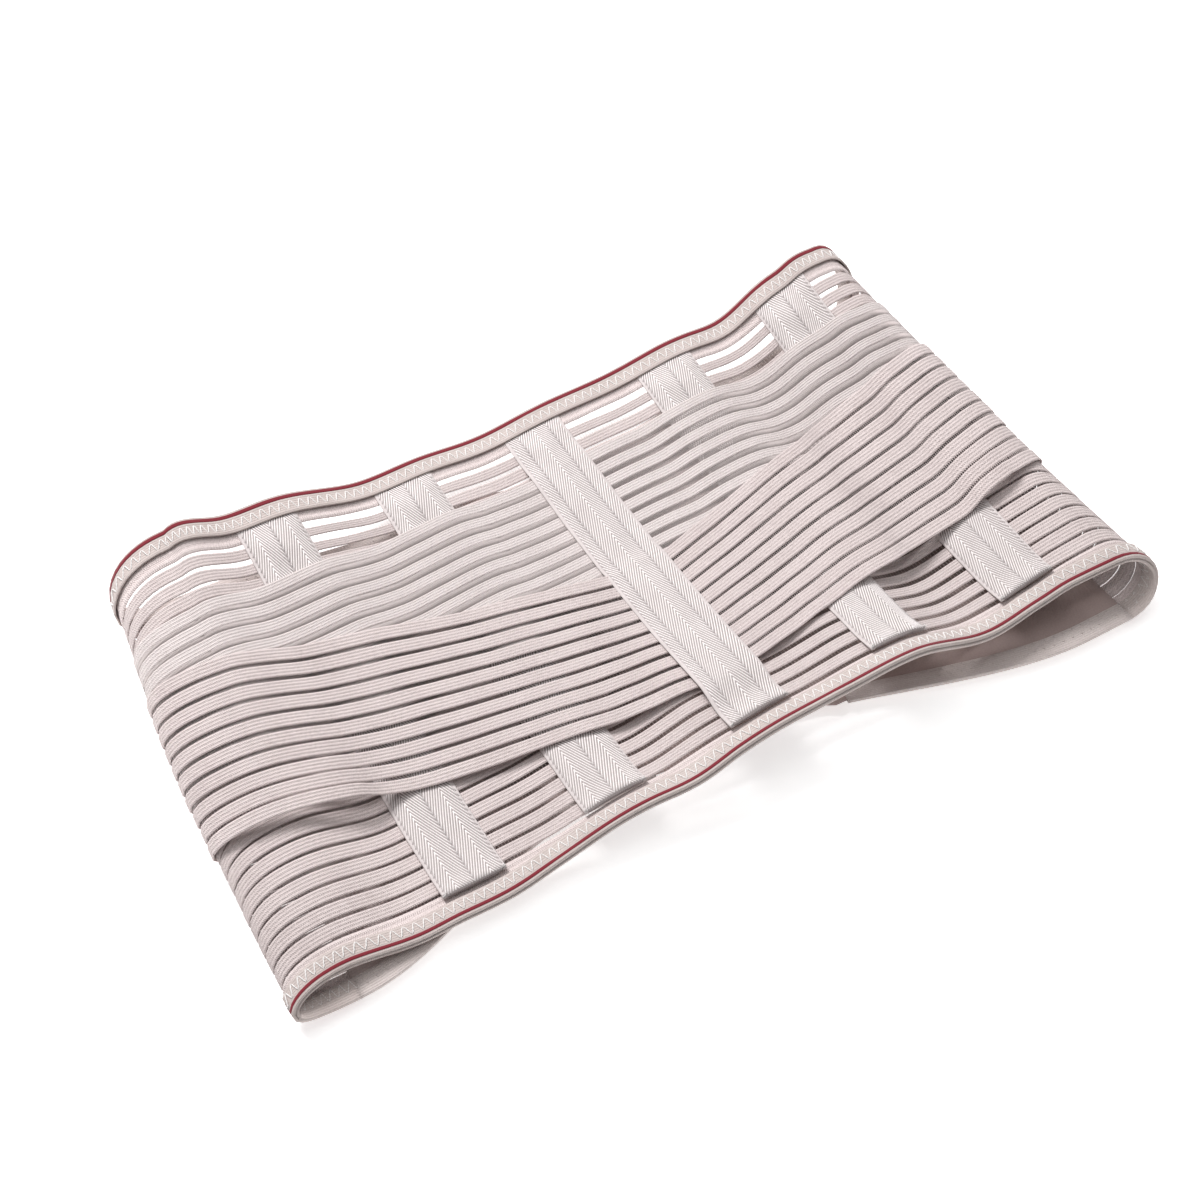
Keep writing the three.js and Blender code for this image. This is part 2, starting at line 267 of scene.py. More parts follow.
class Finish:
    def __init__(self, name, fixed):
        self.material = bpy.data.materials.new(name)
        self.material.use_nodes = True
        self.tree = self.material.node_tree
        self.shader = self.tree.nodes["Principled BSDF"]
        for socket, value in fixed.items():
            self.feed(self.shader.inputs[socket], value)

    def feed(self, socket, value):
        if isinstance(value, Strand):
            self.tree.links.new(value.socket, socket)
        else:
            socket.default_value = value

    def node(self, kind, settings=None, inputs=None, out=0):
        made = self.tree.nodes.new(kind)
        for key, value in (settings or {}).items():
            setattr(made, key, value)
        for key, value in (inputs or {}).items():
            self.feed(made.inputs[key], value)
        return Strand(self, made.outputs[out])

    def lay(self):
        # how the cloth lies on a piece, with a third number for each strip: all three, then
        # millimetres along and millimetres across
        held = self.node("ShaderNodeAttribute", {"attribute_name": "lay"}, out="Vector")
        return [held] + [self.node("ShaderNodeSeparateXYZ", None, {0: held}, out) for out in range(2)]

    def noise(self, vector, scale, detail):
        return self.node("ShaderNodeTexNoise", None, {"Vector": vector, "Scale": scale, "Detail": detail})

    def fuzz(self, look, held):
        # fine fuzz, which lowers the roughness
        made = self.noise(held, *look["fuzz"])
        roughest, lowered = look["roughness"]
        self.feed(self.shader.inputs["Roughness"], roughest - lowered * made)
        return made

    def mix(self, share, first, last):
        return self.node("ShaderNodeMix", {"data_type": "RGBA"}, {0: share, 6: first, 7: last}, out=2)

    def bump(self, height, distance, strength):
        inputs = {"Height": height, "Distance": distance, "Strength": strength}
        self.feed(self.shader.inputs["Normal"], self.node("ShaderNodeBump", None, inputs))

    def colour(self, value):
        self.feed(self.shader.inputs["Base Color"], value)


def paint(red, green, blue):
    parts = [c / 255 for c in (red, green, blue)]
    return tuple(c / 12.92 if c < 0.04045 else ((c + 0.055) / 1.055) ** 2.4 for c in parts) + (1.0,)


# In each look a colour is a pale and a deep one. Fuzz and patches are a noise's scale and detail,
# roughness has how far the fuzz lowers it, and bump is a depth and a strength.
clothFixed = {"Sheen Weight": 0.12, "Sheen Roughness": 0.5, "Specular IOR Level": 0.25}
yarnFixed = {**clothFixed, "Sheen Weight": 0.2}

elasticLook = {
    "panel": (paint(234, 220, 218), paint(197, 181, 179)),
    # the upper straps are the same knit as the panel, painted paler here: painted light
    "upperStrapLit": (paint(240, 229, 227), paint(208, 195, 193)),
    "coursePitch": 0.9,
    "fuzz": (1.2, 3.0),
    "patches": (0.05, 2.0),
    "roughness": (0.95, 0.12),
    "bump": (0.0003, 0.9),
}


def elasticFinish(name, colours):
    finish = Finish(name, clothFixed)
    held, along, across = finish.lay()
    fuzz = finish.fuzz(elasticLook, held)
    patches = finish.noise(held, *elasticLook["patches"])
    ribs = across.wave(2, -tau / 4)  # a rib is two units wide, whatever the band's width
    courses = (along + 0.22 * across.wave(2)).wave(elasticLook["coursePitch"])
    wales = across.wave(1)
    # the rib term makes each rib's crest paler and the valleys between darker: painted highlight and painted
    # shade, beside the ribs' bump
    knit = 0.5 + 0.22 * ribs + 0.5 * courses * wales
    share = (0.5 * knit + 1.1 * (fuzz - 0.5) + 0.5 * (patches - 0.5) + 0.45).rise(0.1, 1.0)
    finish.colour(finish.mix(share, *colours[::-1]))
    finish.bump(0.6 * ribs + 0.7 * courses * wales + 0.9 * fuzz, *elasticLook["bump"])
    return finish.material


tapeLook = {
    "ridges": (paint(247, 241, 240), paint(224, 216, 215)),
    # the tape's body between the ridges is the same yarn, painted darker: painted shade in the grooves
    "ground": (paint(176, 166, 165), paint(144, 134, 133)),
    "edge": (paint(218, 209, 208), paint(194, 184, 183)),
    "selvedge": (13.2, 14.0),  # from the middle of the tape
    "plyPitch": 0.55,
    "pickPitch": 0.8,
    "fuzz": (1.3, 3.0),
    "patches": (0.07, 2.0),
    "roughness": (0.82, 0.15),
    "bump": (0.00015, 0.7),
}


def tapeFinish(name, colours):
    finish = Finish(name, yarnFixed)
    held, along, across = finish.lay()
    fuzz = finish.fuzz(tapeLook, held)
    patches = finish.noise(held, *tapeLook["patches"])
    plies = (along + 0.6 * across).wave(tapeLook["plyPitch"])
    share = (0.55 + 0.8 * (fuzz - 0.5) + 0.6 * (patches - 0.5) + 0.1 * plies).rise(0.05, 0.95)
    picks = along.wave(tapeLook["pickPitch"])
    selvedge = (across.maths("ABSOLUTE") - 0.2 * picks).rise(*tapeLook["selvedge"])
    middle, edge = (finish.mix(share, *pair[::-1]) for pair in (colours, tapeLook["edge"]))
    finish.colour(finish.mix(selvedge, middle, edge))
    finish.bump(0.6 * fuzz + 0.25 * plies, *tapeLook["bump"])
    return finish.material


bindingLook = {
    "edge": (paint(210, 198, 194), paint(178, 165, 161)),
    "hem": (paint(220, 209, 206), paint(190, 178, 174)),
    "pickPitch": (0.8, 0.9),
    "ridgePitch": 1.15,
    "fuzz": (1.4, 3.0),
    "patches": (0.06, 2.0),
    "roughness": (0.92, 0.1),
    "bump": (0.00018, 0.8),
}


def bindingFinish(name, colours):
    finish = Finish(name, clothFixed)
    held, along, across = finish.lay()
    fuzz = finish.fuzz(bindingLook, held)
    patches = finish.noise(held, *bindingLook["patches"])
    pitchAlong, pitchAcross = bindingLook["pickPitch"]
    picks = along.wave(pitchAlong) * across.wave(pitchAcross)
    ridges = across.wave(bindingLook["ridgePitch"])
    share = 0.5 + 0.7 * (fuzz - 0.5) + 0.5 * (patches - 0.5) + 0.1 * picks + 0.08 * ridges
    finish.colour(finish.mix(share.rise(0.05, 0.95), *colours[::-1]))
    finish.bump(0.4 * picks + 0.4 * ridges + 0.6 * fuzz, *bindingLook["bump"])
    return finish.material


plainLook = {
    # the front's darker tone is painted shade, for the shaded inside of the folded belt; near the left fold
    # it gives way to a paler tone
    "front": (paint(187, 168, 164), paint(157, 138, 134)),
    "atLeftFold": (paint(228, 213, 210), paint(198, 183, 180)),
    "shading": (-150, -70),  # X between which the left fold's paler tone gives way to the front's painted shade
    "weavePitch": 0.9,
    "fuzz": (1.2, 3.0),
    "patches": (0.03, 3.0),
    "roughness": (0.95, 0.1),
    "bump": (0.00012, 0.7),
}


def plainFinish(name):
    finish = Finish(name, clothFixed)
    held, along, across = finish.lay()
    fuzz = finish.fuzz(plainLook, held)
    patches = finish.noise(held, *plainLook["patches"])
    weave = along.wave(plainLook["weavePitch"]) * across.wave(plainLook["weavePitch"])
    share = (0.55 + 0.5 * (fuzz - 0.5) + 0.6 * (patches - 0.5) + 0.12 * weave).rise(0.05, 0.95)
    tones = [finish.mix(share, *plainLook[part][::-1]) for part in ("atLeftFold", "front")]
    finish.colour(finish.mix(along.rise(*plainLook["shading"]), *tones))
    finish.bump(0.5 * weave + 0.5 * fuzz, *plainLook["bump"])
    return finish.material


threadLook = {  # the colours, and the length of a twist
    "stitches": (paint(247, 244, 243), paint(218, 212, 210), 0.6),
    "weft": (paint(226, 214, 212), paint(196, 182, 180), 0.5),
    # the upper straps' slot threads are real yarn, painted darker than their bands: painted shade in the
    # slots
    "slotShadeWeft": (paint(216, 205, 203), paint(190, 178, 176), 0.5),
    "redLine": (paint(140, 42, 54), paint(104, 24, 36), 0.7),
    "fuzz": (2.0, 2.0),
    "roughness": (0.8, 0.1),
    "bump": (0.0001, 0.6),
}


def threadFinish(name, pale, deep, twist):
    finish = Finish(name, yarnFixed)
    held, along, across = finish.lay()
    fuzz = finish.fuzz(threadLook, held)
    plies = (along + across).wave(twist)
    share = (0.6 + 0.25 * plies + 0.5 * (fuzz - 0.5)).rise(0.0, 1.0)
    finish.colour(finish.mix(share, deep, pale))
    finish.bump(plies + fuzz, *threadLook["bump"])
    return finish.material


finishes = {
    "elastic": elasticFinish("slottedElastic", elasticLook["panel"]),
    # a paler copy of the same knit for the upper straps: painted light
    "litUpperElastic": elasticFinish("litUpperElastic", elasticLook["upperStrapLit"]),
    "twill": tapeFinish("herringboneTape", tapeLook["ridges"]),
    # the tape's body painted darker than its ridges: painted shade between them
    "shadedTapeGround": tapeFinish("shadedTapeGround", tapeLook["ground"]),
    "binding": bindingFinish("edgeBinding", bindingLook["edge"]),
    "hem": bindingFinish("hemTape", bindingLook["hem"]),
    "plainCloth": plainFinish("plainCloth"),
    "thread": threadFinish("stitchThread", *threadLook["stitches"]),
    "weft": threadFinish("slotThread", *threadLook["weft"]),
    "slotShadeWeft": threadFinish("slotShadeThread", *threadLook["slotShadeWeft"]),
    "redLine": threadFinish("redLine", *threadLook["redLine"]),
}
print("finishes made:", len(finishes))


# Meshes: a strip is a grid of points, closed round its second direction and capped at both ends

stripMap = {  # how the strips lie side by side in the finish's picture
    "shape": 12,  # how many times as many rows as columns
    "margins": (0.01, 0.03),
    "capSize": 0.002,
}


def toStrip(points, along, across, number=0.0):
    lay = np.empty(points.shape)
    lay[..., 0], lay[..., 1], lay[..., 2] = along, across, number
    return points, lay


def makePiece(name, strips, finish):
    points, lays, quads, caps, maps, capMaps = [], [], [], [], [], []
    count = 0
    perRow = max(1, int(math.sqrt(len(strips) / stripMap["shape"])))
    rows = math.ceil(len(strips) / perRow)
    marginU, marginV = stripMap["margins"]
    for number, (grid, lay) in enumerate(strips):
        n, m = grid.shape[:2]
        index = count + np.arange(n * m).reshape(n, m)
        after = np.roll(index, -1, axis=1)
        quads.append(np.stack([index[:-1], index[1:], after[1:], after[:-1]], -1).reshape(-1, 4))
        caps += [index[0], index[-1][::-1]]
        i, j = np.meshgrid(np.arange(n - 1), np.arange(m), indexing="ij")
        u = np.stack([i, i + 1, i + 1, i], -1) / (n - 1)
        v = np.stack([j, j, j + 1, j + 1], -1) / m
        u = (number % perRow + marginU + (1 - 2 * marginU) * u) / perRow
        v = (number // perRow + marginV + (1 - 2 * marginV) * v) / rows
        maps.append(np.stack([u, v], -1).reshape(-1, 2))
        turn = np.arange(m) * tau / m
        disc = stripMap["capSize"] * np.stack([np.cos(turn), np.sin(turn)], -1)
        capMaps += [(np.array([end, v.mean()]) + disc).clip(0, 1) for end in (u.min(), u.max())]
        points.append(grid.reshape(-1, 3))
        lays.append(lay.reshape(-1, 3))
        count += n * m
    points, lays, quads = np.concatenate(points), np.concatenate(lays), np.concatenate(quads)
    a, b, c, d = (points[quads[:, k]] for k in range(4))
    volume = np.einsum("ij,ij->", a, np.cross(b, c)) + np.einsum("ij,ij->", a, np.cross(c, d))
    maps = np.concatenate(maps + capMaps)
    faces = quads.tolist() + [cap.tolist() for cap in caps]
    if volume < 0:  # the faces look inwards
        sizes = [len(face) for face in faces]
        starts = np.cumsum([0] + sizes)
        maps = np.concatenate([maps[s:e][::-1] for s, e in zip(starts[:-1], starts[1:])])
        faces = [face[::-1] for face in faces]
    mesh = bpy.data.meshes.new(name)
    mesh.from_pydata(((points + np.array(belt["toFrame"])) * 0.001).tolist(), [], faces)
    held = mesh.attributes.new("lay", "FLOAT_VECTOR", "POINT")
    held.data.foreach_set("vector", lays.astype(np.float32).ravel())
    picture = mesh.uv_layers.new(name="OFBake", do_init=False)
    picture.uv.foreach_set("vector", maps.astype(np.float32).ravel())
    mesh.shade_smooth()
    mesh.materials.append(finishes[finish])
    piece = bpy.data.objects.new(name, mesh)
    scene.collection.objects.link(piece)
    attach(piece, "root")
    print(name, len(strips), "strips,", sum(len(f) - 2 for f in faces), "triangles")
    return piece


wobbleWaves = ((0.5, 9.7, 3.1), (0.3, 4.3, 5.3), (0.6, 23.0, 1.0))  # size, length, and shift with the seed
goldenAngle = 2.399963


def wobble(along, seed, size):
    # an uneven wave, the same on every run
    turn = goldenAngle * seed
    return size * sum(part * np.sin(along / length + shift * turn) for part, length, shift in wobbleWaves)


def cordStrip(path, out, radius, along):
    sides = 5
    ahead = np.gradient(path, axis=0)
    ahead /= np.linalg.norm(ahead, axis=1, keepdims=True)
    out = out / np.linalg.norm(out, axis=1, keepdims=True)
    across = np.cross(out, ahead)
    turn = np.arange(sides) * tau / sides
    ring = across[:, None] * np.cos(turn)[:, None] + out[:, None] * np.sin(turn)[:, None]
    return toStrip(path[:, None] + ring * radius, along[:, None], np.cos(turn) * radius)


# Slotted elastic: flat ribbed bands, held apart by fine threads across the slots

elastic = {
    "ribHeight": 0.05,
    "columnStep": 4.0,
    "squareness": 8,  # of a band's cross-section
    "sway": 0.12,  # how far bands and threads stray sideways, and bands up and down
    "lift": 0.1,
    "threadTuck": 0.4,  # how far a thread's ends reach into the bands
    "threadCorners": ((-0.5, -0.35), (0.5, -0.35), (0, 0.4)),  # along the band and up, in thread sizes
}


def bandProfile(thickness):
    # a flat band's cross-section with four ribs, as shares of half its width and levels
    half = np.array([0.25, 0.5, 0.75, 0.9, 0.97, 0.993])
    top = np.concatenate([[-1.0], -half[::-1], [0.0], half, [1.0]])
    ribs = -elastic["ribHeight"] * np.cos(top * 2 * tau) * (np.abs(top) < 0.8)
    under = np.array([0.993, 0.95, 0.5, -0.5, -0.95, -0.993])
    shares = np.concatenate([top, under])
    level = thickness / 2 * np.sqrt(1 - np.abs(shares) ** elastic["squareness"])
    return shares, np.concatenate([level[:len(top)] + ribs, -level[len(top):]])


def bandStrip(place, top, bottom, level, thickness, seed):
    # top and bottom are Y of the band's edges at each place
    along = lengthOf(place)
    shares, levels = bandProfile(thickness)
    middle = (top + bottom) / 2 + wobble(along, seed, elastic["sway"])
    y = middle[:, None] + (top - bottom)[:, None] / 2 * shares
    lifted = (level + wobble(along, seed + 40, elastic["lift"]))[:, None] + levels
    points = clothPoint(place, riseAt(place, y), lifted)
    return toStrip(points, along[:, None], shares * 4, seed * 7.3)  # eight units wide, for four ribs


def slotThreads(place, slots, level, size, seed):
    # slots is a list of top and bottom Y along the place; each thread is a three-sided prism
    along = lengthOf(place)
    strips = []
    for number, (top, bottom) in enumerate(slots):
        stray = wobble(along, seed + number, elastic["sway"])
        ends = []
        for y in (top + elastic["threadTuck"], bottom - elastic["threadTuck"]):
            rise = riseAt(place, y)[:, None]
            corners = [
                clothPoint(placeAt(along + step * size + stray), rise, (level + up * size)[:, None])[:, 0]
                for step, up in elastic["threadCorners"]
            ]
            ends.append(np.stack(corners, 1))
        grids = np.stack(ends, 1)
        for k in range(len(place)):
            lay = np.zeros((2, 3, 3))
            lay[..., 0] = along[k] + np.array([0.0, 0.2, 0.1])
            lay[0, :, 1], lay[1, :, 1] = top[k], bottom[k]
            strips.append((grids[k], lay))
    return strips


backPanel = {
    "thickness": 0.85,
    "slots": 25,
    "firstSlot": 18.2,  # from the upper edge to the first slot's middle
    "slotPitch": 8.17,
    # places, and the width of the slots there in the upper and lower part
    "upperSlot": (
        (-7, 1.0), (-6, 1.2), (-5, 2.0), (-4, 2.8), (0, 2.8), (4, 2.8), (4.6, 2.1), (6, 1.5), (7, 1.0),
    ),
    "lowerSlot": (
        (-7, 0.3), (-6.6, 0.35), (-6.2, 1.0), (-5, 1.2), (-3, 1.5), (0, 1.9), (2, 2.2), (3.8, 2.1),
        (5.2, 1.0), (6.15, 0.9), (6.45, 0.4), (7, 0.35),
    ),
    "lowerFrom": (60, 115),  # from the upper edge, between which one width gives way to the other
    "uneven": 0.2,
    "closed": 0.65,  # beside the centre stay only the first slot gapes
    "closedNear": (0.4, 1.6, 2.3),  # the place, and how far from it that ends
    "closedFrom": (20, 34),  # from the upper edge
    "tucked": 3.0,  # how near the long edges the outermost bands run, inside the bindings
    "threadStep": 1.6,
    "threadSize": 0.14,
    "threadLevel": -0.15,
}


def slotEdges(place):
    # the upper and lower Y of each of the back panel's slots
    upperY = edgeLine(place, True)[:, 1]
    wide, slim = through(backPanel["upperSlot"], place), through(backPanel["lowerSlot"], place)
    middle, *closedEnd = backPanel["closedNear"]
    closed = backPanel["closed"] * (1 - smooth(np.abs(place - middle), *closedEnd))
    edges = []
    for down in backPanel["firstSlot"] + backPanel["slotPitch"] * np.arange(backPanel["slots"]):
        share = 1 + wobble(lengthOf(place), down, backPanel["uneven"])
        share = share * (1 - closed * smooth(down, *backPanel["closedFrom"]))
        half = blendTo(wide * share, slim, smooth(down, *backPanel["lowerFrom"])) / 2
        edges.append((upperY - down + half, upperY - down - half))
    return edges


def makeBackPanel():
    place = evenPlaces(-seamPlace, seamPlace, elastic["columnStep"])
    slots = slotEdges(place)
    tops = [edgeLine(place, True)[:, 1] - backPanel["tucked"]] + [below for above, below in slots]
    bottoms = [above for above, below in slots] + [edgeLine(place, False)[:, 1] + backPanel["tucked"]]
    strips = [
        bandStrip(place, top, bottom, 0 * place, backPanel["thickness"], seed)
        for seed, (top, bottom) in enumerate(zip(tops, bottoms))
    ]
    panel = makePiece("back_panel_bands", strips, "elastic")
    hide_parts("back_panel")
    fine = evenPlaces(-seamPlace, seamPlace, backPanel["threadStep"])
    level, size = (backPanel[key] + 0 * fine for key in ("threadLevel", "threadSize"))
    strips = slotThreads(fine, slotEdges(fine), level, size, 3)
    threads = makePiece("back_panel_threads", strips, "weft")
    girth = (lengthOf(seamPlace) - lengthOf(-seamPlace)) / 1000
    size = (belt["height"] / 1000, girth)


makeBackPanel()

# Straps: lengths from the centre stay along the cloth, with Y of each strap's two edges there

strapShape = {
    "bands": 10,
    "thickness": 0.85,
    "start": (0.006, 0.02),  # places where the bands and the threads begin
    "tail": 95,
    "upper left": {
        "top": ((0, 75.5), (72, 77), (143, 73.5), (206, 71), (238, 70), (360, 67)),
        "bottom": ((0, -9), (72, -8.5), (143, -11), (206, -13.5), (238, -14), (360, -16.5)),
        # the slots' share of the pitch
        "slotShare": ((0, 0.26), (60, 0.36), (143, 0.34), (195, 0.25), (238, 0.2), (360, 0.2)),
        "web": (0.56, 0.55),  # step and size of the threads across its slots
    },
    "upper right": {
        "top": ((0, 75.5), (72, 77.5), (143, 74), (180, 71.5), (206, 70), (324, 67)),
        "bottom": ((0, -9), (72, -8), (143, -10.5), (180, -13), (206, -14), (324, -17)),
        "slotShare": ((0, 0.27), (60, 0.33), (143, 0.41), (185, 0.4), (206, 0.3), (324, 0.2)),
        "web": (0.56, 0.55),
        "thinWeb": (0.45, 50, 110),  # share that is left beside the centre stay, and where that ends
    },
    "lower left": {
        "top": ((0, 1), (36, 11), (90, 23.5), (128, 32), (193, 41.5), (238, 46), (360, 68)),
        "bottom": (
            (0, -77), (59, -67.5), (82, -62.5), (130, -54), (160, -47.5), (200, -41.5), (238, -39.5),
            (360, -21.5),
        ),
        "slotShare": ((0, 0.2), (360, 0.2)),
        "web": (1.5, 0.14),
        "standOff": (8.5, 6.0, 6.6),  # how far the lower edge stands off, and places between which that ends
    },
    "lower right": {
        "top": ((0, 0), (30, 7.5), (57, 14.5), (93, 24), (137, 32), (201, 40), (324, 66)),
        "bottom": ((0, -78), (60, -68), (94, -60.5), (132, -56), (160, -52.5), (206, -44), (324, -25)),
        "slotShare": ((0, 0.16), (324, 0.16)),
        "web": (1.0, 0.3),
        "standOff": (5.5, 5.5, 6.4),
    },
    "layOn": 0.9,  # level of the upper straps where they lie on the panel
    "overTape": 1.9,  # extra over the stay tapes
    "tapeReach": (12, 32),  # lengths from a stay between which that ends
    "upperAtCentre": (2.2, 20, 75),  # level at the centre stay, and lengths between which that ends
    "lowerAtCentre": (4.3, 10, 55),
    "crossing": (3.4, 4.1, -45, -8),  # levels of the lower straps beside and over the upper ones, and Y
    "atFold": (1.4, 2.4, -24, -10),  # the same at the folds
    "atFoldFrom": (4.9, 6.2),  # places between which they come to lie so
    "standFrom": (4.0, 5.1),  # places between which the lower edge comes to stand off
    "standBelow": (-62, -5),  # Y between which that ends
    "easing": 14,  # length over which a taut strap's bends are rounded off
    # level of the tails on the front panels, and places between which the straps come to it
    "onFront": {"upper": (1.4, 6.6, foldEnd - 0.1), "lower": (3.75, 6.5, foldEnd - 0.05)},
    "threadLevel": {"upper": 0.08, "lower": -0.2},
    "bandFinish": {"upper": "litUpperElastic", "lower": "elastic"},
    "threadFinish": {"upper": "slotShadeWeft", "lower": "weft"},
}
endTape = {  # over the cut ends of a strap's bands
    "inset": 4.5,
    "half": 6.0,
    "halfWall": 0.58,
    "power": 0.4,
    "sides": 12,
    "stations": 24,
    "past": 0.01,  # share of the strap's width
}
staySpacing = 2
stayPlaces = (-4, -2, 2, 4)


def overTapes(along):
    away = np.min([np.abs(along - lengthOf(stay)) for stay in stayPlaces], axis=0)
    return 1 - smooth(away, *strapShape["tapeReach"])


def tautLevel(place, rise, side, level, least):
    # the level of a strap that spans straight from stay to stay, over the dips between them
    away = np.minimum(np.abs(place), foldStart - 1e-6)
    before = np.floor(away / staySpacing) * staySpacing
    marks = (before, before + staySpacing)
    height = clothMiddle(place, rise[:, None])[:, 0, 2]
    ends = [clothMiddle(side * mark, rise[:, None])[:, 0, 2] for mark in marks]
    held = [np.interp(mark, np.abs(place), level) for mark in marks]
    span = blendTo(ends[0] + held[0], ends[1] + held[1], (away - before) / staySpacing) - height
    taut = np.where(np.abs(place) < foldStart, np.maximum(span, least), level)
    step = np.abs(lengthOf(place[1]) - lengthOf(place[0]))
    reach = max(1, int(strapShape["easing"] / step))
    padded = np.concatenate([np.full(reach, taut[0]), taut, np.full(reach, taut[-1])])
    return np.convolve(padded, np.ones(2 * reach + 1) / (2 * reach + 1), "valid")


def strapLevel(pair, shape, side, place, y):
    along, away = lengthOf(place), np.abs(place)
    overTape = strapShape["overTape"] * overTapes(along)
    tailLevel, *tailFrom = strapShape["onFront"][pair]
    centreLevel, *centreEnd = strapShape[f"{pair}AtCentre"]
    fromCentre = smooth(np.abs(along), *centreEnd)
    if pair == "upper":
        level = np.maximum(strapShape["layOn"] + overTape, centreLevel * (1 - fromCentre))
        return blendTo(level, tailLevel, smooth(away, *tailFrom))
    beside, over, *crossedY = strapShape["crossing"]
    level = blendTo(centreLevel, blendTo(beside, over, smooth(y, *crossedY)), fromCentre)
    beside, over, *crossedY = strapShape["atFold"]
    resting = blendTo(beside, over, smooth(y, *crossedY))
    level = blendTo(level, resting, smooth(away, *strapShape["atFoldFrom"]))
    level = tautLevel(place, riseAt(place, y), side, level, resting + overTape)
    standOff, *standEnd = shape["standOff"]
    lower = 1 - smooth(y, *strapShape["standBelow"])
    standing = smooth(away, *strapShape["standFrom"]) * (1 - smooth(away, *standEnd))
    return blendTo(level + standOff * lower * standing, tailLevel, smooth(away, *tailFrom))


def strapEdges(shape, place):
    away = np.abs(lengthOf(place))
    return through(shape["top"], away), through(shape["bottom"], away)


def bandEdges(shape, place, number):
    top, bottom = strapEdges(shape, place)
    slotShare = through(shape["slotShare"], np.abs(lengthOf(place)))
    pitch = (top - bottom) / (strapShape["bands"] - slotShare)
    first = top - pitch * number
    return first, first - pitch * (1 - slotShare)


def endTapeStrip(pair, shape, side, end):
    turn = np.arange(endTape["sides"]) * tau / endTape["sides"]
    middle = abs(lengthOf(side * end)) - endTape["inset"]
    lengths = middle + endTape["half"] * squared(np.cos(turn), endTape["power"])
    level = strapShape["onFront"][pair][0] + endTape["halfWall"] * squared(np.sin(turn), endTape["power"])
    place = placeAt(side * lengths)
    top, bottom = strapEdges(shape, place)
    shares = np.linspace(-endTape["past"], 1 + endTape["past"], endTape["stations"])
    y = blendTo(top[:, None], bottom[:, None], shares)
    points = clothPoint(place, riseAt(place, y), np.broadcast_to(level[:, None], y.shape))
    return toStrip(points.transpose(1, 0, 2), y.T, lengths)


def makeStrap(pair, hand):
    shape = strapShape[f"{pair} {hand}"]
    side = -1 if hand == "left" else 1
    bands, bandStart, threadStart = strapShape["bands"], *strapShape["start"]
    frontLength = abs(edgeLine(np.array([side * foldEnd]), False)[0, 0]) - belt["closureX"]
    end = foldEnd + strapShape["tail"] / frontLength
    place = evenPlaces(side * bandStart, side * end, elastic["columnStep"])
    strips = []
    for number in range(bands):
        top, bottom = bandEdges(shape, place, number)
        level = strapLevel(pair, shape, side, place, (top + bottom) / 2)
        seed = number + 11 * bands * (side + 2)
        strips.append(bandStrip(place, top, bottom, level, strapShape["thickness"], seed))
    name = f"{pair}_strap_{hand}"
    strap = makePiece(f"{name}_bands", strips, strapShape["bandFinish"][pair])
    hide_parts(name)
    webStep, webSize = shape["web"]
    fine = evenPlaces(side * threadStart, side * end, webStep)
    size = webSize + 0 * fine
    if "thinWeb" in shape:
        share, *thinEnd = shape["thinWeb"]
        size *= blendTo(share, 1.0, smooth(lengthOf(fine), *thinEnd))
    threads = []
    for number in range(bands - 1):
        top = bandEdges(shape, fine, number)[1]
        bottom = bandEdges(shape, fine, number + 1)[0]
        level = strapLevel(pair, shape, side, fine, (top + bottom) / 2) + strapShape["threadLevel"][pair]
        threads += slotThreads(fine, [(top, bottom)], level, size, number)
    weft = makePiece(f"{name}_threads", threads, strapShape["threadFinish"][pair])
    cover = makePiece(f"{name}_end", [endTapeStrip(pair, shape, side, end)], "plainCloth")
    top, bottom = strapEdges(shape, place)
    size = (np.mean(top - bottom) / 1000, abs(lengthOf(side * end)) / 1000)


for pair in ("upper", "lower"):
    for hand in ("left", "right"):
        makeStrap(pair, hand)

# Stay tapes with their herringbone ridges

tape = {
    "width": 30.5,
    "top": 8.0,  # from the belt's upper edge, tucked under the binding
    "bottom": 216.5,
    "uneven": 0.12,
    "restLevel": 0.55,
    "strapSteps": ((2.25, 27, 40), (2.2, 103, 113), (-4.2, 191, 208)),  # on the centre stay: rise, start, end
    "endLift": (1.2, 203, 216),  # how far the lower end stands off the panel
    "edgeWall": (0.4, 0.85),  # under the binding, and where the tape is bare
    "bareFrom": (10.5, 20),
    "endWall": (0.4, 210, 216),  # extra where the lower end is folded in
    "crown": 0.9,
    "lump": (1.2, 26, 8.0, 8.5),  # the stay's end under the tape: height, how far down, and spread both ways
    "waves": (0.18, 11.0, 6.0),  # size, and length down and across
    "squareness": 40,  # of the long edges
    "ridgeStep": 2.8,  # along the tape from one ridge to the next
    "ridgeSlope": 2.3,  # along the tape for each millimetre across
    "ridgeSize": 0.66,
    "ridgeHeight": 0.27,
    "ridgeRing": ((-0.5, -0.35), (-0.28, 0.75), (0.28, 0.75), (0.5, -0.35)),  # in sizes across and heights up
    "ridgeEnd": 0.8,  # share of the height left at both ends
    "ridgeLap": 0.2,  # how far the yarns run past their column
    "ridgeInset": (2, 0.6),  # from the tape's upper and lower end
    "shortestRidge": 1.0,
    "ridgeStation": 2.2,
    "hidden": (62, 128),  # where the straps cover the side tapes
    "sideColumns": (1.5, 7.2, 15.4, 23.6, 29.3),  # from the tape's left edge
    "centreColumns": (2.0, 6.9, 15.4, 22.5, 29.2),
}
tuft = {  # loose thread ends where the tape's lower corners are sewn down
    "threads": 5,
    "corner": (1.2, 0.7),  # from the tape's long edge and its end
    "length": (1.3, 0.5),  # and how much it varies
    "curl": 0.5,
    "lift": (0.1, 0.9),
    "radius": 0.17,
}
